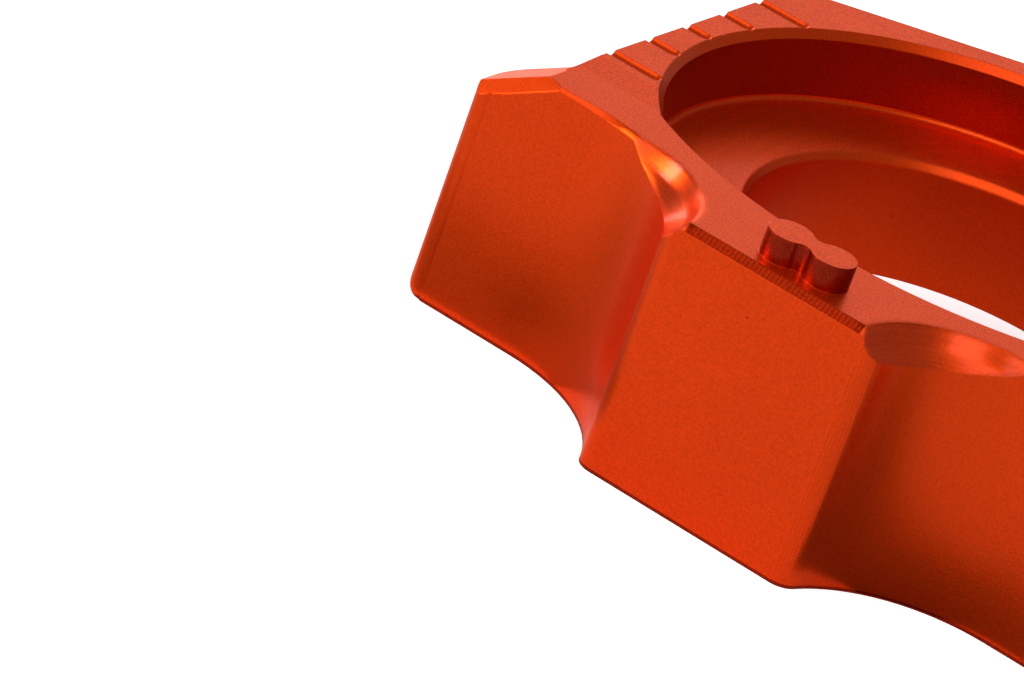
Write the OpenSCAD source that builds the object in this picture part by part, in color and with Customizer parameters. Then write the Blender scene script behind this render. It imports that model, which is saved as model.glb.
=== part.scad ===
// Axle block for a motorcycle chain adjuster, machined from one billet.
// Millimetres, +Z up. The origin lies on the axle bore's axis, on the plate's
// underside. The index lines run along X, and the adjuster bolt bears on the
// pad's face at the -Y end.

/* [Axle bore] */
// Diameter of the axle that the block carries
axle_d = 25; // [20:0.5:26]
// Clearance of the bore over the axle, on the diameter
axle_gap = 0.1; // [0.05:0.05:0.3]
// Chamfer at the bore's upper end
bore_chamfer = 0.4; // [0.2:0.1:0.8]

/* [Plate] */
// Thickness of the block from the bar's underside to the marked face
block_t = 15.25; // [14:0.25:18]
// Width of the plate
plate_w = 41.2; // [41:0.2:46]
// Height of the plate's underside above the bar's underside
plate_rise = 3.75; // [2:0.25:6]
// Slope of the two rear edges against the index lines
rear_slope = 30; // [20:1:35]
// Distance of the rear edges from the bore axis
rear_reach = 20.8; // [20.6:0.1:24]
// Radius of the rear nose
nose_r = 15; // [8:0.5:16]
// Radius of the two rear shoulders
shoulder_r = 4; // [1:0.5:6]

/* [Nut pocket] */
// Diameter of the round pocket about the bore, measured over its chamfer
pocket_d = 38.1; // [34:0.1:39]
// Depth of the pocket
pocket_depth = 4.3; // [2:0.1:6]
// Radius of the flatter arc that closes the pocket behind the pad
front_arc_r = 24.5; // [22:0.5:30]
// Distance of that arc from the bore axis, measured on the pad's axis
front_arc_y = 15.6; // [15:0.1:16]
// Chamfer around the pocket's rim
rim_chamfer = 0.45; // [0.2:0.05:0.8]
// Fillet at the foot of the pocket's round wall
floor_fillet = 0.35; // [0.1:0.05:0.8]

/* [Adjuster pad] */
// Sideways offset of the adjuster bolt's axis
pad_x = -1.5; // [-3:0.1:0]
// Distance of the pad's face from the bore axis
pad_reach = 21.5; // [21:0.1:24]
// Distance from the pad's axis to the centre of each upright groove
groove_x = 15.45; // [15:0.05:16]
// Radius of the two upright grooves beside the pad
groove_r = 9.2; // [8.8:0.1:9.4]
// Chamfer around the grooves' upper ends
groove_chamfer = 0.25; // [0.25:0.05:0.5]
// Radius of the pad's upright corners
pad_corner_r = 1.2; // [0.6:0.1:1.6]
// Chamfer along the pad's upper edge
pad_chamfer = 0.4; // [0.2:0.1:0.8]

/* [Dished reliefs] */
// Radius of the reliefs at the pad's upper corners
scoop_r = 6.5; // [6:0.1:6.8]
// Distance from the pad's axis to each relief's centre
scoop_x = 12; // [11.8:0.1:12.6]
// Distance of the reliefs' centres from the bore axis
scoop_y = 21.7; // [21.4:0.1:22.2]
// Radius of the bowl in each relief
bowl_r = 9; // [7:0.1:10]
// Width of the steep lip around the bowl
lip_w = 0.55; // [0.35:0.05:0.7]
// Depth of the steep lip
lip_d = 0.95; // [0.6:0.05:1.2]

/* [Cross bar] */
// Width over the two wing tips
bar_w = 48.6; // [46.6:0.2:52]
// Distance of the bar's front face from the bore axis
bar_front = 14.95; // [14.8:0.05:15.2]
// Thickness of the bar along Y
bar_t = 3.45; // [3:0.05:5]
// Radius of the wings' front upright corners
wing_front_r = 0.8; // [0.3:0.1:1.2]
// Radius of the wings' rear upright corners
wing_rear_r = 1.2; // [0.5:0.1:1.5]
// Radius under each wing tip
wing_foot_r = 1.4; // [0.5:0.1:3]
// Slope of the bevel over each wing
bevel_slope = 30; // [20:1:40]
// Distance of each bevel's upper end from the bore axis
bevel_x = 20.2; // [19:0.1:20.6]
// Chamfer along the front of each bevel
bevel_chamfer = 0.7; // [0.2:0.05:0.8]
// Chamfer along the bar's upper front edge
bar_chamfer = 0.2; // [0.1:0.05:0.2]

/* [Marked face] */
// Drop of the bar's top below the marked face
bar_drop = 0.15; // [0.05:0.05:0.4]
// Distance from the bore axis to the start of the ramp
ramp_start = 9.1; // [8.9:0.1:9.6]
// Length of the ramp down to the bar's top
ramp_run = 2.2; // [1:0.1:3]
// Number of index lines
line_count = 5; // [1:2:5]
// Distance from line to line
line_pitch = 4; // [3:0.1:4.1]
// Radius of the ball cutter that sinks the lines
line_r = 0.55; // [0.4:0.05:0.8]
// Depth of the lines
line_depth = 0.25; // [0.1:0.05:0.35]
// Distance of the lines' ball centres from the pocket's rim
line_gap = 0.4; // [0.2:0.05:0.8]

/* [Peg] */
// Height of the peg above the bar's top
peg_h = 1.5; // [0.8:0.1:2.4]
// Distance of the peg's middle from the pad's axis
peg_x = 0.4; // [0:0.1:0.5]
// Distance of the peg's middle from the bore axis
peg_y = 19.1; // [18.7:0.1:19.3]
// Radius of the peg's two round ends
peg_r = 1.26; // [1.2:0.02:1.3]
// Distance between the centres of the two round ends
peg_span = 2.66; // [2.6:0.02:2.7]
// Width of the peg's waist
peg_waist = 1.35; // [1.3:0.05:1.4]
// Radius of the two hollows that form the waist
waist_r = 0.6; // [0.58:0.02:0.64]

/* [Part] */
// Sub-part to draw

/* [Hidden] */
$fn = 96;
// length by which a cutter runs clear of the faces that it cuts
over = 1;
bore_r = (axle_d + axle_gap) / 2;
half_w = plate_w / 2;
half_bar = bar_w / 2;
bar_rear = bar_front - bar_t;
bar_top = block_t - bar_drop;
pocket_r = pocket_d / 2;
pocket_floor = block_t - pocket_depth;
wall_r = pocket_r - rim_chamfer;
groove_y = bar_front + groove_r;
// the sloped rear edges meet the sides and each other
apex_y = rear_reach / cos(rear_slope);
shoulder_y = apex_y - half_w * tan(rear_slope);
shoulder_t = shoulder_r * tan((90 - rear_slope) / 2);
nose_y = apex_y - nose_r / cos(rear_slope);
// the pad's corner arcs touch the pad's face and the grooves
corner_y = pad_reach - pad_corner_r;
corner_x = groove_x - sqrt(pow(groove_r + pad_corner_r, 2) - pow(groove_y - corner_y, 2));
bevel_drop = (half_bar - bevel_x) * tan(bevel_slope);
bowl_z = sqrt(pow(bowl_r, 2) - pow(scoop_r - lip_w, 2)) - lip_d;

// A child and its mirror image about the plane x = at
module both_sides(at = 0) {
    translate([at, 0, 0]) {
        children();
        mirror([1, 0, 0]) children();
    }
}

// Bar along +X that cuts a 45 degree chamfer with the given leg into an edge
module edge_cutter(length, leg) {
    side = 4 * leg;
    rotate([45, 0, 0]) translate([0, -side / 2, -leg / sqrt(2)]) cube([length, side, side]);
}

// One half of the plate's plan, from inside the bar to the nose
module half_plate_plan() {
    polygon([
        [0, -bar_rear - over],
        [half_w, -bar_rear - over],
        [half_w, shoulder_y - shoulder_t],
        [half_w - shoulder_r, shoulder_y - shoulder_t],
        [half_w - shoulder_t * cos(rear_slope), shoulder_y + shoulder_t * sin(rear_slope)],
        [nose_r * sin(rear_slope), nose_y + nose_r * cos(rear_slope)],
        [0, nose_y]
    ]);
    translate([half_w - shoulder_r, shoulder_y - shoulder_t]) circle(r = shoulder_r);
}

// Flat plate around the bore
module plate() {
    translate([0, 0, plate_rise]) linear_extrude(block_t - plate_rise) {
        both_sides() half_plate_plan();
        translate([0, nose_y]) circle(r = nose_r);
    }
}

// One half of the bar's plan, with the wing's rounded upright corners
module half_bar_plan() {
    translate([0, -bar_front]) square([half_bar - wing_rear_r, bar_t]);
    translate([0, wing_front_r - bar_front]) square([half_bar, bar_t - wing_front_r - wing_rear_r]);
    translate([half_bar - wing_front_r, wing_front_r - bar_front]) circle(r = wing_front_r);
    translate([half_bar - wing_rear_r, -bar_rear - wing_rear_r]) circle(r = wing_rear_r);
}

// One half of the bar's front view, with bevel and rounded foot
module half_bar_view() {
    polygon([
        [0, 0],
        [half_bar - wing_foot_r, 0],
        [half_bar - wing_foot_r, wing_foot_r],
        [half_bar, wing_foot_r],
        [half_bar, block_t - bevel_drop],
        [bevel_x, block_t],
        [0, block_t]
    ]);
    translate([half_bar - wing_foot_r, wing_foot_r]) circle(r = wing_foot_r);
}

// Cross bar with its two wings
module cross_bar() {
    intersection() {
        linear_extrude(block_t) both_sides() half_bar_plan();
        translate([0, over - bar_rear, 0]) rotate([90, 0, 0]) linear_extrude(bar_t + 2 * over) {
            both_sides() half_bar_view();
        }
    }
}

// Pad between the grooves, without its rounded corners
module pad_core() {
    translate([pad_x, 0, 0]) linear_extrude(block_t) polygon([
        [-groove_x, -bar_rear],
        [-groove_x, -groove_y],
        [-corner_x, -corner_y],
        [-corner_x, -pad_reach],
        [corner_x, -pad_reach],
        [corner_x, -corner_y],
        [groove_x, -groove_y],
        [groove_x, -bar_rear]
    ]);
}

// Round column that forms one of the pad's upright corners
module pad_corner() {
    translate([corner_x, -corner_y, 0]) cylinder(h = bar_top, r = pad_corner_r);
}

// Cutter for one upright groove
module groove_cutter() {
    translate([groove_x, -groove_y, 0]) rotate_extrude() polygon([
        [0, -over],
        [groove_r, -over],
        [groove_r, bar_top - groove_chamfer],
        [groove_r + groove_chamfer + over, bar_top + over],
        [0, bar_top + over]
    ]);
}

// Cutter for one dished relief: a bowl with a steep lip
module scoop_cutter() {
    translate([scoop_x, -scoop_y, bar_top]) rotate_extrude() intersection() {
        translate([0, bowl_z]) circle(r = bowl_r);
        polygon([
            [0, -3 * lip_d],
            [scoop_r - 3 * lip_w, -3 * lip_d],
            [scoop_r + bar_drop * lip_w / lip_d, bar_drop],
            [scoop_r + bar_drop * lip_w / lip_d, 2 * bar_drop],
            [0, 2 * bar_drop]
        ]);
    }
}

// Cutter that lowers the bar's top and leaves a ramp up to the marked face
module ramp_cutter() {
    rotate([90, 0, -90]) translate([0, 0, -bar_w]) linear_extrude(2 * bar_w) polygon([
        [ramp_start, block_t],
        [ramp_start + ramp_run, bar_top],
        [pad_reach + over, bar_top],
        [pad_reach + over, block_t + over],
        [ramp_start, block_t + over]
    ]);
}

// Chamfers along the front edges of bar and bevels
module bar_chamfers() {
    for (side = [-1, 1]) {
        face_x = groove_x + side * pad_x + groove_chamfer;
        mirror([side < 0 ? 1 : 0, 0, 0]) {
            translate([face_x, -bar_front, bar_top]) edge_cutter(half_bar - face_x, bar_chamfer);
            translate([bevel_x, -bar_front, block_t]) rotate([0, bevel_slope, 0]) {
                translate([-over, 0, 0]) edge_cutter(half_bar - bevel_x + 3 * over, bevel_chamfer);
            }
        }
    }
}

// Section of a pocket cutter from the given foot up, with wall radius r
module pocket_section(r, foot, top) {
    polygon([
        [0, foot],
        [r, foot],
        [r, top - rim_chamfer],
        [r + rim_chamfer + over, top + over],
        [0, top + over]
    ]);
}

// Cutter for the nut pocket: a round one, closed by a flatter arc at the front
module pocket_cutter() {
    intersection() {
        rotate_extrude() {
            pocket_section(wall_r, pocket_floor + floor_fillet, block_t);
            translate([0, pocket_floor]) square([wall_r - floor_fillet, pocket_depth]);
            translate([wall_r - floor_fillet, pocket_floor + floor_fillet]) circle(r = floor_fillet);
        }
        translate([pad_x, front_arc_r - front_arc_y, 0]) rotate_extrude() {
            pocket_section(front_arc_r - rim_chamfer, pocket_floor - over, bar_top);
        }
    }
}

// Cutter for the axle bore, chamfered at its upper end
module bore_cutter() {
    rotate_extrude() polygon([
        [0, -over],
        [bore_r, -over],
        [bore_r, pocket_floor - bore_chamfer],
        [bore_r + bore_chamfer, pocket_floor],
        [bore_r + bore_chamfer, pocket_floor + over],
        [0, pocket_floor + over]
    ]);
}

// Cutter for one index line, ball-ended towards the pocket
module line_cutter(y) {
    end_x = sqrt(pow(pocket_r + line_gap, 2) - pow(y, 2));
    translate([-end_x, y, block_t + line_r - line_depth]) rotate([0, -90, 0]) {
        cylinder(h = half_w - end_x + over, r = line_r);
        sphere(r = line_r);
    }
}

// All index lines, spaced evenly about the bore axis
module line_cutters() {
    for (i = [0 : line_count - 1]) line_cutter((i - (line_count - 1) / 2) * line_pitch);
}

// Locating peg with two round ends and a waist
module peg() {
    translate([pad_x + peg_x, -peg_y, bar_top - over]) linear_extrude(peg_h + over) difference() {
        union() {
            for (side = [-1, 1]) translate([side * peg_span / 2, 0]) circle(r = peg_r);
            square([peg_span, 0.9 * peg_waist + waist_r], center = true);
        }
        for (side = [-1, 1]) translate([0, side * (peg_waist / 2 + waist_r)]) circle(r = waist_r);
    }
}

// The whole block: one solid
module axle_block() {
    color([0.86, 0.27, 0.09]) translate([0, 0, -plate_rise]) {
        difference() {
            union() {
                difference() {
                    union() {
                        plate();
                        cross_bar();
                        pad_core();
                    }
                    both_sides(pad_x) groove_cutter();
                    ramp_cutter();
                    bar_chamfers();
                }
                both_sides(pad_x) pad_corner();
            }
            translate([pad_x - groove_x, -pad_reach, bar_top]) edge_cutter(2 * groove_x, pad_chamfer);
            both_sides(pad_x) scoop_cutter();
            pocket_cutter();
            bore_cutter();
            line_cutters();
        }
        peg();
    }
}

axle_block();
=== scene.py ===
"""Studio picture of a machined, anodised axle block from a motorcycle chain adjuster.

The block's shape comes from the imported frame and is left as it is. This script dresses it with
one procedural anodised finish, whose shading also makes the edges catch the light as if slightly
broken, and sets the floor, the lights and the camera. Lengths are in metres.
"""

import logging
import math
from dataclasses import dataclass
from enum import Enum

import bpy
from mathutils import Euler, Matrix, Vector


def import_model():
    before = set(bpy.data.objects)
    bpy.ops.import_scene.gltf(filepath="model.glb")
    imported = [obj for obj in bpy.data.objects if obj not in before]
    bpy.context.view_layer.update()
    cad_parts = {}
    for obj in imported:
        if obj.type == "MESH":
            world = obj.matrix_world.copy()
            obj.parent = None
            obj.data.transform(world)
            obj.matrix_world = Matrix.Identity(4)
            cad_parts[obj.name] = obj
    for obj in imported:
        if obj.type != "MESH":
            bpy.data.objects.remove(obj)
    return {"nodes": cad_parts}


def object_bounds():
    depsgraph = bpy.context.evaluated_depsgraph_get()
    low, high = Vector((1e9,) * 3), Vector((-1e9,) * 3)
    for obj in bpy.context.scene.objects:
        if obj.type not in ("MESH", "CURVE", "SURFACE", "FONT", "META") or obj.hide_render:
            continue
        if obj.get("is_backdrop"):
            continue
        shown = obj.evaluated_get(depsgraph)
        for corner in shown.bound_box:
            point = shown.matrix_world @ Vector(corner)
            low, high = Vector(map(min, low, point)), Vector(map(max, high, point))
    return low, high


LOG = logging.getLogger("axle_block_scene")
MM = 0.001

Colour = tuple[float, float, float, float]
Point = tuple[float, float, float]
Angles = tuple[float, float, float]
Spot = tuple[float, float]
Span = tuple[float, float]
Socket = bpy.types.NodeSocket
Value = Socket | float


class Zone(Enum):
    """Parts of the block's surface that were cut in different ways, and parts that get painted
    shade.
    """

    TOP = "top_face"
    LEDGE = "pocket_floor"
    RAMP = "ramp"
    PAD_CHAMFER = "pad_chamfer"
    BEVEL = "wing_bevel"
    SCOOP = "scoop"
    BORE_EDGE = "bore_edge"
    PEG = "peg_walls"
    POCKET = "pocket_wall"
    FOOT = "foot_edge"
    BOWL = "bowl"
    WING_END = "wing_end"
    CORNER = "pad_corner"
    WALL = "wall"


Masks = dict[Zone, Socket]
ZoneValues = tuple[tuple[Zone, float], ...]


@dataclass(frozen=True)
class CutLimits:
    """Where the cut surfaces lie on the block, so that the finish can tell them apart.

    A span is a pair of lower and upper limit. A fade is a pair of the values where its mask is
    0 and 1. A reach is a distance from an upright axis. A facing is the upward share of a normal.

    Args:
        flat: Facing above which a surface is a top face.
        slant: Span of the facing on chamfers and bevels.
        hollow: Facing above which a surface near a relief's axis is the relief's.
        upright: Span of the facing on walls.
        ledge_below: Height below which a top face is the pocket's floor.
        ramp: Span of the ramp along Y.
        pad_face: Span of the pad's chamfer along Y.
        wing_from: Distance from the middle where the wings' bevels start.
        wing_end_from: The same for the wings' end faces.
        foot_below: Height below which the walls' lowest edge lies.
        left_scoop: Axis of the dished relief left of the pad.
        right_scoop: Axis of the dished relief right of the pad.
        scoop_reach: Reach of the reliefs.
        gloss_reach: Reach of the reliefs' glossier bowls.
        chamfer_reach: Reach of the reliefs inside which the pad's chamfer is cut away.
        right_groove: Axis of the round groove right of the pad.
        bowl_near_wall: Fade of the bowl's shade, by the distance from that groove's axis.
        bowl_inner: Fade of the bowl's shade, by the distance from the relief's axis.
        bowl_rightward: Fade of the bowl's shade along X.
        bore_mouth: Span of the bore's upper edge, by the distance from its axis.
        peg_above: Height above which a wall near the front is the peg's.
        peg_before: Place on Y before which it is.
        corner: Span of the pad's right corner along X.
        corner_before: Place on Y before which it lies.
        pocket_above: Height above which an inward wall is the pocket's.
        pocket_reach: Reach of the pocket's wall from the bore's axis.
        turning_axis: Axis of the turning marks on the pocket's floor.
        scallop_bow: Bow of the ramp's scallops, per metre.
    """

    flat: float = 0.95
    slant: Span = (0.3, 0.95)
    hollow: float = 0.2
    upright: Span = (-0.1, 0.1)
    ledge_below: float = 8.0 * MM
    ramp: Span = (-11.3 * MM, -9.1 * MM)
    pad_face: Span = (-22.0 * MM, -21.0 * MM)
    wing_from: float = 19.0 * MM
    wing_end_from: float = 22.6 * MM
    foot_below: float = -3.55 * MM
    left_scoop: Spot = (-13.5 * MM, -21.7 * MM)
    right_scoop: Spot = (10.5 * MM, -21.7 * MM)
    scoop_reach: float = 6.9 * MM
    gloss_reach: float = 6.45 * MM
    chamfer_reach: float = 6.55 * MM
    right_groove: Spot = (13.95 * MM, -24.15 * MM)
    bowl_near_wall: Span = (10.9 * MM, 9.3 * MM)
    bowl_inner: Span = (6.3 * MM, 5.1 * MM)
    bowl_rightward: Span = (8.5 * MM, 12.5 * MM)
    bore_mouth: Span = (12.2 * MM, 13.5 * MM)
    peg_above: float = 11.36 * MM
    peg_before: float = -12.0 * MM
    corner: Span = (4.2 * MM, 6.5 * MM)
    corner_before: float = -20.2 * MM
    pocket_above: float = 7.3 * MM
    pocket_reach: float = 19.3 * MM
    turning_axis: Spot = (12.0 * MM, 4.0 * MM)
    scallop_bow: float = 60.0


@dataclass(frozen=True)
class Noise:
    """Fineness of one noise texture.

    Args:
        scale: Cells per metre.
        detail: Octaves.
    """

    scale: float
    detail: float


@dataclass(frozen=True)
class CutterMark:
    """One family of even ridges that a cutter left.

    Args:
        zone: Where the ridges show.
        pitch: Distance between ridges.
        height: Share that it takes of the finish's height for cutter marks.
    """

    zone: Zone
    pitch: float
    height: float


@dataclass(frozen=True)
class AnodisedFinish:
    """Satin anodised aluminium with the marks of the cutters in it.

    Args:
        dye: Colour of the dyed layer seen head-on.
        dye_deep_and_shade: Colour in specks and in the hollows of cutter marks, and also the
            painted shade on the zones in painted_shade_depths.
        metallic: Share of the light that the metal throws back, the dye scattering the rest.
        roughness: Roughness of the walls.
        top_roughness: Roughness that the top faces have on top of that.
        cloud_roughness: Spread of the roughness across the surface.
        specular_level: Strength of the dye's own gloss.
        glancing_tint: Tint of the metal's reflection at glancing angles.
        coat: Weight of the clear oxide layer.
        scoop_coat: Weight that the dished reliefs have on top of that.
        coat_roughness: Roughness of that layer.
        coat_ior: Refractive index of that layer.
        edge_break: Radius that the light sees on edges.
        edge_samples: Samples that find the edges.
        zone_edge_breaks: The same radius in the zones where it differs.
        relief: Height of the cutter marks and the grain.
        mark_relief: Share of that height that the cutter marks take.
        grain_relief: Share of that height that the grain takes.
        marks: The cutter marks.
        chamfer_waver: How far the ridges on chamfers and bevels wander.
        streak_waver: How far the streaks on walls wander.
        turning_waver: How far the turning marks wander.
        waver: Noise by which they wander.
        grain: Noise of the satin grain.
        cloud: Noise of the slow variation.
        speck: Noise that places the specks.
        speck_level: Noise value above which a speck shows.
        grain_depth: Share by which the grain deepens the dye.
        top_grain_depth: Share by which it deepens the top faces on top of that.
        top_lift: Share by which the top faces are lighter, which balances their grain.
        grain_middle: Share taken off everywhere, so that the grain lies on both sides of the dye.
        cloud_depth: Share by which the slow variation deepens the dye.
        speck_depth: The same for the specks.
        mark_depth: The same for the cutter marks.
        painted_shade_depths: The same for painted shade, on zones that the light leaves darker as a
            whole or that mirror dark surroundings.
    """

    dye: Colour = (0.92, 0.064, 0.0032, 1.0)
    # dark colour for specks and cutter-mark hollows, also used as painted shade
    dye_deep_and_shade: Colour = (0.2, 0.008, 0.001, 1.0)
    metallic: float = 0.9
    roughness: float = 0.29
    top_roughness: float = 0.1
    cloud_roughness: float = 0.07
    specular_level: float = 0.1
    glancing_tint: Colour = (1.0, 0.82, 0.68, 1.0)
    coat: float = 0.08
    scoop_coat: float = 0.16
    coat_roughness: float = 0.13
    coat_ior: float = 1.55
    edge_break: float = 0.11 * MM
    edge_samples: int = 4
    zone_edge_breaks: ZoneValues = (
        (Zone.BORE_EDGE, 0.25 * MM),
        (Zone.SCOOP, 0.6 * MM),
        (Zone.WING_END, 0.011 * MM),
    )
    relief: float = 0.02 * MM
    mark_relief: float = 0.6
    grain_relief: float = 0.55
    marks: tuple[CutterMark, ...] = (
        CutterMark(Zone.PAD_CHAMFER, pitch=0.26 * MM, height=0.14),
        CutterMark(Zone.BEVEL, pitch=0.26 * MM, height=0.08),
        CutterMark(Zone.RAMP, pitch=0.42 * MM, height=0.2),
        CutterMark(Zone.SCOOP, pitch=0.22 * MM, height=0.07),
        CutterMark(Zone.WALL, pitch=0.35 * MM, height=0.015),
        CutterMark(Zone.LEDGE, pitch=1.1 * MM, height=0.07),
        CutterMark(Zone.CORNER, pitch=0.26 * MM, height=0.1),
    )
    chamfer_waver: float = 0.104 * MM
    streak_waver: float = 0.35 * MM
    turning_waver: float = 1.1 * MM
    waver: Noise = Noise(scale=400.0, detail=2.0)
    grain: Noise = Noise(scale=11000.0, detail=3.0)
    cloud: Noise = Noise(scale=160.0, detail=4.0)
    speck: Noise = Noise(scale=3200.0, detail=1.0)
    speck_level: float = 0.8
    grain_depth: float = 0.7
    top_grain_depth: float = 1.4
    top_lift: float = 0.665
    grain_middle: float = 0.28
    cloud_depth: float = 0.15
    speck_depth: float = 0.5
    mark_depth: float = 0.5
    # painted shade: the pad's chamfer, the peg's walls, the pocket's walls, the walls' lowest edge
    # and the right relief's bowl are deepened where the light leaves them dark or they mirror dark
    # surroundings
    painted_shade_depths: ZoneValues = (
        (Zone.PAD_CHAMFER, 0.75),
        (Zone.PEG, 0.75),
        (Zone.POCKET, 0.5),
        (Zone.FOOT, 0.7),
        (Zone.BOWL, 0.7),
    )


def grey(share: float) -> Colour:
    """Gives the grey that scatters a share of the light."""
    return (share, share, share, 1.0)


class Shader:
    """An empty material and what adds nodes to it.

    Args:
        name: Name of the material.
    """

    def __init__(self, name: str) -> None:
        self.material = bpy.data.materials.new(name)
        self.material.use_nodes = True
        self.tree = self.material.node_tree
        self.tree.nodes.clear()

    def node(self, kind: str, name: str, **settings: object) -> bpy.types.Node:
        """Adds one shader node.

        Args:
            kind: Type name of the node.
            name: Name and label of the node.
            **settings: Attributes to set on it.

        Returns:
            The new node.
        """
        made = self.tree.nodes.new(kind)
        made.name = made.label = name
        for key, value in settings.items():
            setattr(made, key, value)
        return made

    def link(self, source: Socket, target: Socket) -> None:
        """Joins an output socket to an input socket."""
        self.tree.links.new(source, target)

    def math(self, operation: str, first: Value, second: Value, name: str) -> Socket:
        """Adds a math node.

        Args:
            operation: Name of the operation.
            first: Number or output socket.
            second: Number or output socket.
            name: Name of the node.

        Returns:
            The node's output socket.
        """
        made = self.node("ShaderNodeMath", name, operation=operation)
        for index, value in enumerate((first, second)):
            if isinstance(value, Socket):
                self.link(value, made.inputs[index])
            else:
                made.inputs[index].default_value = float(value)
        return made.outputs[0]

    def clamp(self, value: Socket, name: str) -> Socket:
        """Keeps a value between 0 and 1.

        Args:
            value: Output socket.
            name: Name of the node.

        Returns:
            The kept value.
        """
        made = self.node("ShaderNodeClamp", name)
        self.link(value, made.inputs["Value"])
        return made.outputs[0]

    def total(self, parts: list[tuple[Value, float]], name: str) -> Socket:
        """Adds up weighted values.

        Args:
            parts: Pairs of value and weight.
            name: Stem for the nodes' names.

        Returns:
            The weighted sum.
        """
        result: Value = 0.0
        for index, (value, weight) in enumerate(parts):
            share = self.math("MULTIPLY", value, weight, f"{name}_share_{index}")
            result = self.math("ADD", result, share, f"{name}_sum_{index}")
        return result

    def above(self, value: Value, limit: float, name: str) -> Socket:
        """Makes a mask that is 1 where a value is above a limit."""
        return self.math("GREATER_THAN", value, limit, name)

    def below(self, value: Value, limit: float, name: str) -> Socket:
        """Makes a mask that is 1 where a value is below a limit."""
        return self.math("LESS_THAN", value, limit, name)

    def overlap(self, masks: list[Socket], name: str) -> Socket:
        """Makes a mask of what several masks have in common.

        Args:
            masks: Two or more masks.
            name: Stem for the nodes' names.

        Returns:
            The mask.
        """
        result = masks[0]
        for index, mask in enumerate(masks[1:]):
            result = self.math("MULTIPLY", result, mask, f"{name}_{index}")
        return result

    def between(self, value: Value, span: Span, name: str) -> Socket:
        """Makes a mask that is 1 where a value lies within a span.

        Args:
            value: Output socket.
            span: Lower and upper limit.
            name: Name of the mask.

        Returns:
            The mask.
        """
        low, high = span
        above = self.above(value, low, name + "_above")
        return self.overlap([above, self.below(value, high, name + "_below")], name)

    def fade(self, value: Value, ends: Span, name: str) -> Socket:
        """Makes a soft mask that changes evenly from 0 to 1.

        Args:
            value: Output socket.
            ends: Values where the mask is 0 and 1.
            name: Name of the mask.

        Returns:
            The mask.
        """
        start, end = ends
        past = self.math("SUBTRACT", value, start, name + "_past")
        return self.clamp(self.math("DIVIDE", past, end - start, name + "_share"), name)

    def finish_with(self, surface: Socket) -> bpy.types.Material:
        """Makes a shader the material's surface.

        Args:
            surface: The shader's output socket.

        Returns:
            The finished material.
        """
        output = self.node("ShaderNodeOutputMaterial", "output")
        self.link(surface, output.inputs["Surface"])
        return self.material


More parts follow.
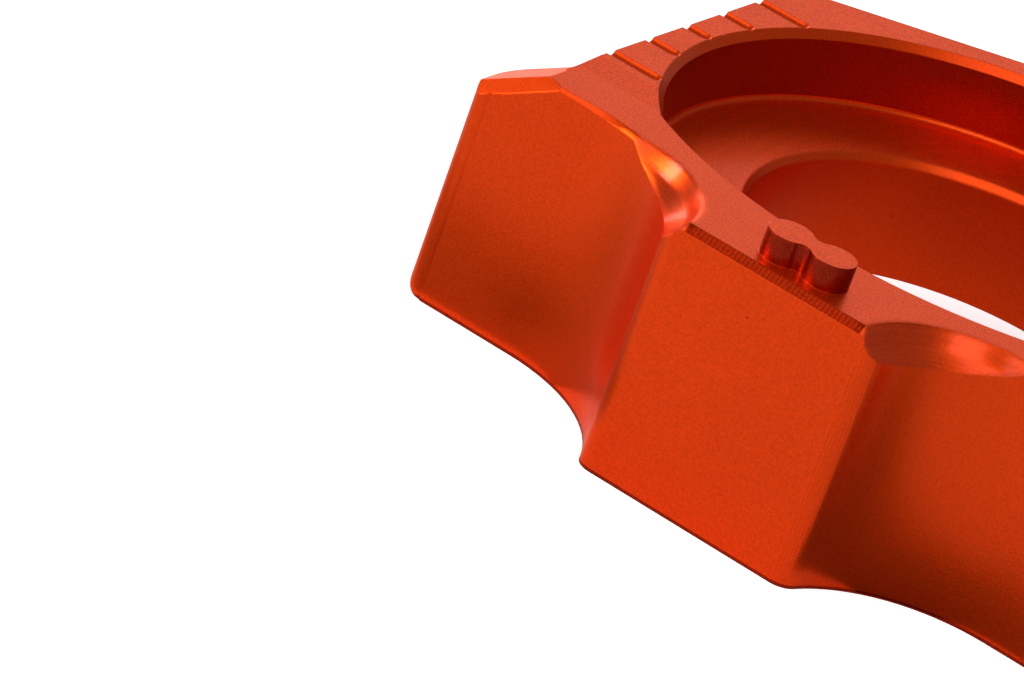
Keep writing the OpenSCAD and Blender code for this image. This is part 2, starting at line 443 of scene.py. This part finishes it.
class AnodisedMaterial(Shader):
    """The shader of the anodised finish.

    Args:
        finish: Colours and sizes of the finish.
        cuts: Where the cut surfaces lie.
        name: Name of the material.
    """

    def __init__(self, finish: AnodisedFinish, cuts: CutLimits, name: str) -> None:
        super().__init__(name)
        self.finish = finish
        self.cuts = cuts
        surface = self.node("ShaderNodeNewGeometry", "surface")
        self.position = surface.outputs["Position"]
        place = self.node("ShaderNodeSeparateXYZ", "place")
        facing = self.node("ShaderNodeSeparateXYZ", "facing")
        self.link(self.position, place.inputs[0])
        self.link(surface.outputs["True Normal"], facing.inputs[0])
        self.place = place.outputs
        self.facing = facing.outputs
        left = self.distance_from(cuts.left_scoop, "left_scoop")
        right = self.distance_from(cuts.right_scoop, "right_scoop")
        self.scoop_radius = self.math("MINIMUM", left, right, "scoop_radius")
        self.bore_radius = self.distance_from((0.0, 0.0), "bore_radius")

    def distance_from(self, axis: Spot, name: str) -> Socket:
        """Measures the distance from an upright axis.

        Args:
            axis: Place of the axis on X and Y.
            name: Stem for the nodes' names.

        Returns:
            The distance.
        """
        along = self.math("SUBTRACT", self.place["X"], axis[0], name + "_x")
        across = self.math("SUBTRACT", self.place["Y"], axis[1], name + "_y")
        along_square = self.math("MULTIPLY", along, along, name + "_xx")
        across_square = self.math("MULTIPLY", across, across, name + "_yy")
        squares = self.math("ADD", along_square, across_square, name + "_squares")
        return self.math("SQRT", squares, 0.0, name)

    def noise(self, fineness: Noise, name: str) -> Socket:
        """Adds a noise texture over the block.

        Args:
            fineness: Scale and detail.
            name: Name of the node.

        Returns:
            The noise value from 0 to 1.
        """
        made = self.node("ShaderNodeTexNoise", name)
        made.inputs["Scale"].default_value = fineness.scale
        made.inputs["Detail"].default_value = fineness.detail
        self.link(self.position, made.inputs["Vector"])
        return made.outputs["Fac"]

    def pocket_wall(self) -> Socket:
        """Makes the mask of what lies in the pocket and faces the bore's axis.

        Returns:
            The mask.
        """
        along = self.math("MULTIPLY", self.place["X"], self.facing["X"], "outward_x")
        across = self.math("MULTIPLY", self.place["Y"], self.facing["Y"], "outward_y")
        outward = self.math("ADD", along, across, "outward")
        masks = [
            self.above(self.place["Z"], self.cuts.pocket_above, "above_pocket_floor"),
            self.below(self.bore_radius, self.cuts.pocket_reach, "within_pocket"),
            self.below(outward, 0.0, "inward"),
        ]
        return self.overlap(masks, "in_pocket")

    def right_bowl(self) -> Socket:
        """Makes the soft mask of the right relief's bowl next to the groove's wall.

        Returns:
            The mask.
        """
        groove_radius = self.distance_from(self.cuts.right_groove, "right_groove")
        masks = [
            self.fade(groove_radius, self.cuts.bowl_near_wall, "near_groove_wall"),
            self.fade(self.scoop_radius, self.cuts.bowl_inner, "inner_bowl"),
            self.fade(self.place["X"], self.cuts.bowl_rightward, "rightward"),
        ]
        return self.overlap(masks, "bowl_bottom")

    def pad_corner(self) -> Socket:
        """Makes the mask of the strip around the pad's right corner.

        Returns:
            The mask.
        """
        across = self.between(self.place["X"], self.cuts.corner, "right_end")
        before = self.below(self.place["Y"], self.cuts.corner_before, "rounded")
        return self.overlap([across, before], "corner_strip")

    def out_front(self) -> Socket:
        """Makes the mask of what stands above the bar near the pad.

        Returns:
            The mask.
        """
        proud = self.above(self.place["Z"], self.cuts.peg_above, "proud")
        forward = self.below(self.place["Y"], self.cuts.peg_before, "forward")
        return self.overlap([proud, forward], "out_front")

    def zones(self) -> Masks:
        """Makes one mask for each zone.

        Returns:
            The masks by zone.
        """
        cuts = self.cuts
        flat = self.above(self.facing["Z"], cuts.flat, Zone.TOP.value)
        slant = self.between(self.facing["Z"], cuts.slant, "slant")
        hollow = self.above(self.facing["Z"], cuts.hollow, "hollow")
        upright = self.between(self.facing["Z"], cuts.upright, Zone.WALL.value)
        low = self.below(self.place["Z"], cuts.ledge_below, "low_down")
        strip = self.between(self.place["Y"], cuts.ramp, "ramp_strip")
        pad_face = self.between(self.place["Y"], cuts.pad_face, "pad_face")
        outside = self.above(self.scoop_radius, cuts.chamfer_reach, "outside_scoops")
        aside = self.math("ABSOLUTE", self.place["X"], 0.0, "aside")
        wing = self.above(aside, cuts.wing_from, "wing")
        tip = self.above(aside, cuts.wing_end_from, "wing_tip")
        scoops = self.below(self.scoop_radius, cuts.scoop_reach, "scoops")
        lowest = self.below(self.place["Z"], cuts.foot_below, "lowest")
        masks = {
            Zone.LEDGE: [flat, low],
            Zone.RAMP: [flat, strip],
            Zone.PAD_CHAMFER: [slant, pad_face, outside],
            Zone.BEVEL: [slant, wing],
            Zone.SCOOP: [hollow, scoops],
            # BOWL, PEG, POCKET and FOOT serve only to place painted shade
            Zone.BOWL: [hollow, self.right_bowl()],
            Zone.PEG: [upright, self.out_front()],
            Zone.POCKET: [upright, self.pocket_wall()],
            Zone.FOOT: [upright, lowest],
            Zone.WING_END: [upright, tip],
            Zone.CORNER: [upright, self.pad_corner()],
        }
        zones = {zone: self.overlap(parts, zone.value) for zone, parts in masks.items()}
        zones[Zone.TOP] = flat
        zones[Zone.WALL] = upright
        zones[Zone.BORE_EDGE] = self.between(
            self.bore_radius, cuts.bore_mouth, Zone.BORE_EDGE.value
        )
        return zones

    def mark_ways(self) -> Masks:
        """Measures the length along which the ridges of each zone follow each other.

        Returns:
            The lengths by zone.
        """
        finish = self.finish
        waver = self.noise(finish.waver, "waver")
        run = self.total([(self.place["X"], 1.0), (waver, finish.chamfer_waver)], "run")
        bow = self.math("MULTIPLY", self.place["Y"], self.place["Y"], "bow")
        turning = self.distance_from(self.cuts.turning_axis, "turning")
        return {
            Zone.PAD_CHAMFER: run,
            Zone.BEVEL: run,
            Zone.RAMP: self.total(
                [(self.place["X"], 1.0), (bow, self.cuts.scallop_bow)], "scallop_way"
            ),
            Zone.SCOOP: self.scoop_radius,
            Zone.WALL: self.total(
                [(self.place["Z"], 1.0), (waver, finish.streak_waver)], "streak_way"
            ),
            Zone.LEDGE: self.total(
                [(turning, 1.0), (waver, finish.turning_waver)], "turning_way"
            ),
            Zone.CORNER: self.total(
                [(self.place["X"], 1.0), (self.place["Y"], 1.0)], "corner_way"
            ),
        }

    def ridges(self, mark: CutterMark, way: Socket, mask: Socket) -> Socket:
        """Makes even ridges inside a mask.

        Args:
            mark: Zone and pitch of the ridges.
            way: Length along which they follow each other.
            mask: Where they show.

        Returns:
            A value that runs from -1 to 1 once per pitch inside the mask.
        """
        name = mark.zone.value + "_ridges"
        turns = self.math("MULTIPLY", way, 2.0 * math.pi / mark.pitch, name + "_turns")
        wave = self.math("SINE", turns, 0.0, name + "_wave")
        return self.overlap([wave, mask], name)

    def cutter_marks(self, zones: Masks) -> Socket:
        """Makes the height of all the cutter marks.

        Args:
            zones: Masks by zone.

        Returns:
            Share of the finish's height for cutter marks, below 0 in the hollows.
        """
        ways = self.mark_ways()
        parts = [
            (self.ridges(mark, ways[mark.zone], zones[mark.zone]), mark.height)
            for mark in self.finish.marks
        ]
        return self.total(parts, "marks")

    def colour(self, zones: Masks, marks: Socket, grain: Socket, cloud: Socket) -> Socket:
        """Mixes the dye's colour, with painted shade deepening some zones.

        Args:
            zones: Masks by zone.
            marks: Height of the cutter marks.
            grain: Fine satin grain.
            cloud: Slow variation.

        Returns:
            The colour.
        """
        finish = self.finish
        spots = self.noise(finish.speck, "speck_noise")
        specks = self.above(spots, finish.speck_level, "specks")
        top_grain = self.overlap([grain, zones[Zone.TOP]], "top_grain")
        parts = [
            (grain, finish.grain_depth),
            (top_grain, finish.top_grain_depth),
            (zones[Zone.TOP], -finish.top_lift),
            (cloud, finish.cloud_depth),
            (specks, finish.speck_depth),
            (marks, finish.mark_depth),
        ]
        # painted shade on whole zones
        parts += [(zones[zone], depth) for zone, depth in finish.painted_shade_depths]
        depth = self.total(parts, "depth")
        even = self.math("SUBTRACT", depth, finish.grain_middle, "even_depth")
        mix = self.node("ShaderNodeMix", "dye_and_shade_mix", data_type="RGBA")
        mix.inputs["A"].default_value = finish.dye
        mix.inputs["B"].default_value = finish.dye_deep_and_shade
        self.link(self.clamp(even, "clear_depth"), mix.inputs["Factor"])
        return mix.outputs["Result"]

    def normal(self, zones: Masks, marks: Socket, grain: Socket) -> Socket:
        """Makes the normal with broken edges, cutter marks and grain.

        Args:
            zones: Masks by zone.
            marks: Height of the cutter marks.
            grain: Fine satin grain.

        Returns:
            The normal.
        """
        finish = self.finish
        radii = [
            (zones[zone], radius - finish.edge_break) for zone, radius in finish.zone_edge_breaks
        ]
        radii.append((1.0, finish.edge_break))
        edges = self.node("ShaderNodeBevel", "broken_edges", samples=finish.edge_samples)
        self.link(self.total(radii, "edge_radius"), edges.inputs["Radius"])
        heights = [(marks, finish.mark_relief), (grain, finish.grain_relief)]
        bump = self.node("ShaderNodeBump", "relief_bump")
        bump.inputs["Strength"].default_value = 1.0
        bump.inputs["Distance"].default_value = finish.relief
        self.link(self.total(heights, "relief"), bump.inputs["Height"])
        self.link(edges.outputs["Normal"], bump.inputs["Normal"])
        return bump.outputs["Normal"]

    def roughness(self, zones: Masks, cloud: Socket) -> Socket:
        """Makes the metal's roughness.

        Args:
            zones: Masks by zone.
            cloud: Slow variation.

        Returns:
            The roughness.
        """
        finish = self.finish
        lowest = finish.roughness - finish.cloud_roughness / 2
        parts = [
            (cloud, finish.cloud_roughness),
            (zones[Zone.TOP], finish.top_roughness),
            (1.0, lowest),
        ]
        return self.total(parts, "roughness")

    def coat(self, zones: Masks) -> Socket:
        """Makes the weight of the clear layer, which the pad's chamfer lacks.

        Args:
            zones: Masks by zone.

        Returns:
            The weight.
        """
        inside = self.below(self.scoop_radius, self.cuts.gloss_reach, "inside_scoop")
        glossy = self.overlap([zones[Zone.SCOOP], inside], "glossy_bowl")
        elsewhere = self.math("SUBTRACT", 1.0, zones[Zone.PAD_CHAMFER], "not_pad_chamfer")
        return self.total([(glossy, self.finish.scoop_coat), (elsewhere, self.finish.coat)], "coat")

    def build(self) -> bpy.types.Material:
        """Builds the whole shader.

        Returns:
            The finished material.
        """
        finish = self.finish
        zones = self.zones()
        marks = self.cutter_marks(zones)
        grain = self.noise(finish.grain, "satin_grain")
        cloud = self.noise(finish.cloud, "cloud")
        shader = self.node("ShaderNodeBsdfPrincipled", "anodised")
        shader.inputs["Metallic"].default_value = finish.metallic
        shader.inputs["Specular IOR Level"].default_value = finish.specular_level
        shader.inputs["Specular Tint"].default_value = finish.glancing_tint
        shader.inputs["Coat Roughness"].default_value = finish.coat_roughness
        shader.inputs["Coat IOR"].default_value = finish.coat_ior
        self.link(self.colour(zones, marks, grain, cloud), shader.inputs["Base Color"])
        self.link(self.roughness(zones, cloud), shader.inputs["Roughness"])
        self.link(self.normal(zones, marks, grain), shader.inputs["Normal"])
        self.link(self.coat(zones), shader.inputs["Coat Weight"])
        return self.finish_with(shader.outputs["BSDF"])


@dataclass(frozen=True)
class AxleBlock:
    """The one solid of the part.

    Args:
        finish: Finish it takes.
        cuts: Where its cut surfaces lie.
        node_name: Name of the solid in the frame.
        material_name: Name of its material.
    """

    finish: AnodisedFinish
    cuts: CutLimits
    node_name: str = "axle_block"
    material_name: str = "orange_anodised"

    def dress(self, nodes: dict[str, bpy.types.Object]) -> None:
        """Gives the block its finish.

        Args:
            nodes: Objects that the frame brought in, by name.
        """
        node = nodes[self.node_name]
        material = AnodisedMaterial(self.finish, self.cuts, self.material_name).build()
        for slot in node.material_slots:
            slot.material = material
        LOG.info("dressed %s: %d faces", node.name, len(node.data.polygons))


class FloorMaterial(Shader):
    """White floor that looks white to the camera but keeps its shadow.

    Args:
        name: Name of the material.
        white: Share of the light that the floor scatters.
        glow: White that the camera alone sees added to that.
    """

    def __init__(self, name: str, white: float, glow: float) -> None:
        super().__init__(name)
        self.white = white
        self.glow = glow

    def build(self) -> bpy.types.Material:
        """Builds the whole shader.

        Returns:
            The finished material.
        """
        matt = self.node("ShaderNodeBsdfDiffuse", "matt")
        matt.inputs["Color"].default_value = grey(self.white)
        rays = self.node("ShaderNodeLightPath", "rays")
        gain = self.math("MULTIPLY", rays.outputs["Is Camera Ray"], self.glow, "gain")
        glow = self.node("ShaderNodeEmission", "glow")
        self.link(gain, glow.inputs["Strength"])
        both = self.node("ShaderNodeAddShader", "both")
        self.link(matt.outputs[0], both.inputs[0])
        self.link(glow.outputs[0], both.inputs[1])
        return self.finish_with(both.outputs[0])


@dataclass(frozen=True)
class SoftBox:
    """One rectangular studio light.

    Args:
        name: Name of the light.
        place: Middle of the light.
        target: Point that it faces.
        width: Width.
        height: Height.
        watts: Power.
    """

    name: str
    place: Point
    target: Point
    width: float
    height: float
    watts: float

    def build(self) -> None:
        """Makes the light."""
        data = bpy.data.lights.new(self.name, "AREA")
        data.shape = "RECTANGLE"
        data.size = self.width
        data.size_y = self.height
        data.energy = self.watts
        lamp = bpy.data.objects.new(self.name, data)
        bpy.context.scene.collection.objects.link(lamp)
        lamp.location = self.place
        aim = Vector(self.target) - Vector(self.place)
        lamp.rotation_euler = aim.to_track_quat("-Z", "Y").to_euler()
        LOG.info("soft box %s: %.2f W", self.name, self.watts)


@dataclass(frozen=True)
class Flag:
    """One dark card on the floor, which shows only as a dark reflection in the metal: a painted
    reflection of the shade around the block.

    Args:
        name: Name of the card.
        place: Middle of the card.
        size: Length and width.
        turn: Turn about the upright axis, in degrees.
        shade: Share of the light that the card scatters.
        roughness: Roughness of the card.
    """

    name: str
    place: Spot
    size: Spot
    turn: float
    shade: float
    roughness: float = 0.9

    def build(self, level: float) -> None:
        """Makes the card.

        Args:
            level: Height at which it lies.
        """
        bpy.ops.mesh.primitive_plane_add(size=1.0, location=(*self.place, level))
        card = bpy.context.object
        card.name = self.name
        card.scale = (*self.size, 1.0)
        card.rotation_euler = (0.0, 0.0, math.radians(self.turn))
        card.visible_camera = False
        card.visible_diffuse = False
        card.visible_shadow = False
        material = bpy.data.materials.new(self.name + "_card")
        material.use_nodes = True
        surface = material.node_tree.nodes["Principled BSDF"]
        surface.inputs["Base Color"].default_value = grey(self.shade)
        surface.inputs["Roughness"].default_value = self.roughness
        card.data.materials.append(material)
        card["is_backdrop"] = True
        LOG.info("dark card %s at %.4f m", self.name, level)


MIDDLE: Point = (0.0, 0.0, 0.0)
LEFT_FRONT: Point = (-0.05, -0.12, 0.0)
SOFT_BOXES = (
    SoftBox("left_back", (-0.45, 0.3, 0.1), MIDDLE, width=0.3, height=0.18, watts=0.7),
    SoftBox("far_back", (-0.25, 0.62, 0.36), MIDDLE, width=0.6, height=0.3, watts=0.54),
    SoftBox("front_left", (-0.62, -0.42, 0.2), LEFT_FRONT, width=0.4, height=0.24, watts=4.4),
    SoftBox("front", (-0.24, -0.55, 0.45), MIDDLE, width=0.4, height=0.14, watts=0.4),
    SoftBox("front_right", (0.37, -0.52, 0.5), MIDDLE, width=0.4, height=0.26, watts=0.7),
    SoftBox("overhead", (0.02, -0.26, 0.6), MIDDLE, width=0.8, height=0.36, watts=1.3),
)
# dark cards hidden from the camera that paint the shade around the block into the metal's
# reflections
FLAGS = (
    Flag("right_flag", (24.5 * MM, -19.1 * MM), (34.0 * MM, 7.5 * MM), turn=0.0, shade=0.12),
    Flag("left_flag", (-27.5 * MM, -21.5 * MM), (28.0 * MM, 12.0 * MM), turn=0.0, shade=0.3),
    Flag("groove_flag", (-17.2 * MM, -23.8 * MM), (12.0 * MM, 4.0 * MM), turn=-56.0, shade=0.1),
)


@dataclass(frozen=True)
class Studio:
    """Floor, surrounding light, soft boxes and dark cards.

    Args:
        boxes: Soft boxes to set up.
        flags: Dark cards to lay down, which give painted dark reflections of shade.
        floor_side: Side of the square floor.
        floor_white: Share of the light that the floor scatters.
        floor_glow: White that the camera alone sees added to the floor.
        sky: Strength of the even white light around, which the camera sees as pure white.
        flag_lift: Height between one card and the next, and between the floor and the first.
    """

    boxes: tuple[SoftBox, ...] = SOFT_BOXES
    flags: tuple[Flag, ...] = FLAGS
    floor_side: float = 4.0
    floor_white: float = 0.8
    floor_glow: float = 0.66
    sky: float = 0.28
    flag_lift: float = 0.1 * MM

    def floor(self, level: float) -> None:
        """Makes the floor.

        Args:
            level: Height of the floor.
        """
        bpy.ops.mesh.primitive_plane_add(size=self.floor_side, location=(0.0, 0.0, level))
        floor = bpy.context.object
        floor.name = "studio_floor"
        material = FloorMaterial("white_floor", self.floor_white, self.floor_glow).build()
        floor.data.materials.append(material)
        floor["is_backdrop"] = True
        LOG.info("floor at %.4f m", level)

    def room(self) -> None:
        """Makes the even light around."""
        world = bpy.data.worlds.new("white_room")
        world.use_nodes = True
        tree = world.node_tree
        background = tree.nodes["Background"]
        background.inputs["Color"].default_value = grey(1.0)
        rays = tree.nodes.new("ShaderNodeLightPath")
        seen = tree.nodes.new("ShaderNodeMath")
        seen.operation = "MAXIMUM"
        seen.inputs[1].default_value = self.sky
        tree.links.new(rays.outputs["Is Camera Ray"], seen.inputs[0])
        tree.links.new(seen.outputs[0], background.inputs["Strength"])
        bpy.context.scene.world = world

    def build(self, level: float) -> None:
        """Makes the floor, the cards and the lights.

        Args:
            level: Height of the floor.
        """
        self.floor(level)
        for index, flag in enumerate(self.flags, start=1):
            flag.build(level + self.flag_lift * index)
        self.room()
        for box in self.boxes:
            box.build()


@dataclass(frozen=True)
class ProductCamera:
    """Camera at the photograph's viewing angle.

    Args:
        name: Name of the camera.
        place: Position.
        turn: Rotation about X, Y and Z, in degrees.
        lens: Focal length in millimetres.
        sensor: Width of the sensor in millimetres.
        clip_start: Nearest distance that the camera sees.
    """

    name: str = "product_camera"
    place: Point = (0.101958, -0.267813, 0.128487)
    turn: Angles = (63.4291, -17.9134, 33.9442)
    lens: float = 203.51
    sensor: float = 36.0
    clip_start: float = 0.01

    def build(self) -> None:
        """Makes the camera and sets it as the scene's camera."""
        data = bpy.data.cameras.new(self.name)
        data.sensor_width = self.sensor
        data.sensor_fit = "HORIZONTAL"
        data.lens = self.lens
        data.clip_start = self.clip_start
        camera = bpy.data.objects.new(self.name, data)
        bpy.context.scene.collection.objects.link(camera)
        camera.location = self.place
        camera.rotation_euler = Euler([math.radians(angle) for angle in self.turn], "XYZ")
        bpy.context.scene.camera = camera
        LOG.info("camera at %s", self.place)


def plain(box: object) -> list[list[float]]:
    """Turns a box into plain lists.

    Args:
        box: Two corner points.

    Returns:
        The corners as lists of numbers.
    """
    return [[float(value) for value in corner] for corner in box]


def main() -> None:
    """Builds the scene piece by piece."""
    logging.basicConfig(level=logging.INFO)
    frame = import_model()
    before = plain(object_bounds())
    floor_level = before[0][2]
    ProductCamera().build()
    AxleBlock(AnodisedFinish(), CutLimits()).dress(frame["nodes"])
    Studio().build(floor_level)
    bpy.context.scene.view_settings.view_transform = "Standard"


if __name__ == "__main__":
    main()
